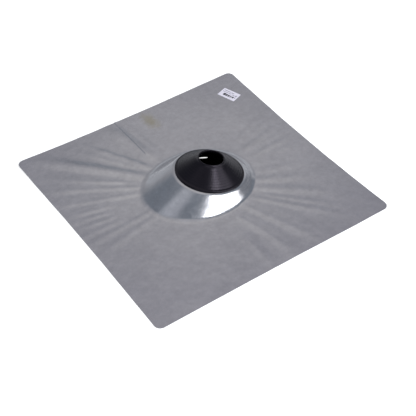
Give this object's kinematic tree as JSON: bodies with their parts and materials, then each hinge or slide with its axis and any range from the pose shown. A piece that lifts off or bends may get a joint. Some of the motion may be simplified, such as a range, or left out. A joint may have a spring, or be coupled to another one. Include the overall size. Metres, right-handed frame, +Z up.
{
  "type": "pipe flashing boot",
  "caption": "Square galvanised steel roof flashing with a drawn oval dome and a snapped-in rubber collar that seals round a vent pipe.",
  "frame": {"origin": "middle of the square sheet, on the plane of its underside, which lies on the roof deck", "axes": "+Z up off the deck, +X up the roof slope, the way the collar leans, +Y to the left looking up the slope"},
  "size_m": [0.3174, 0.3174, 0.0362],
  "materials": {
    "galvanised_sheet": "galvanised, dull, with rolling and drawing marks",
    "collar_rubber": "moulded, satin black",
    "sticker_paper": "matt paper"
  },
  "bodies": {
    "root": {"flashing_base": "galvanised_sheet", "sealing_collar": "collar_rubber", "price_sticker": "sticker_paper"}
  },
  "joints": []
}
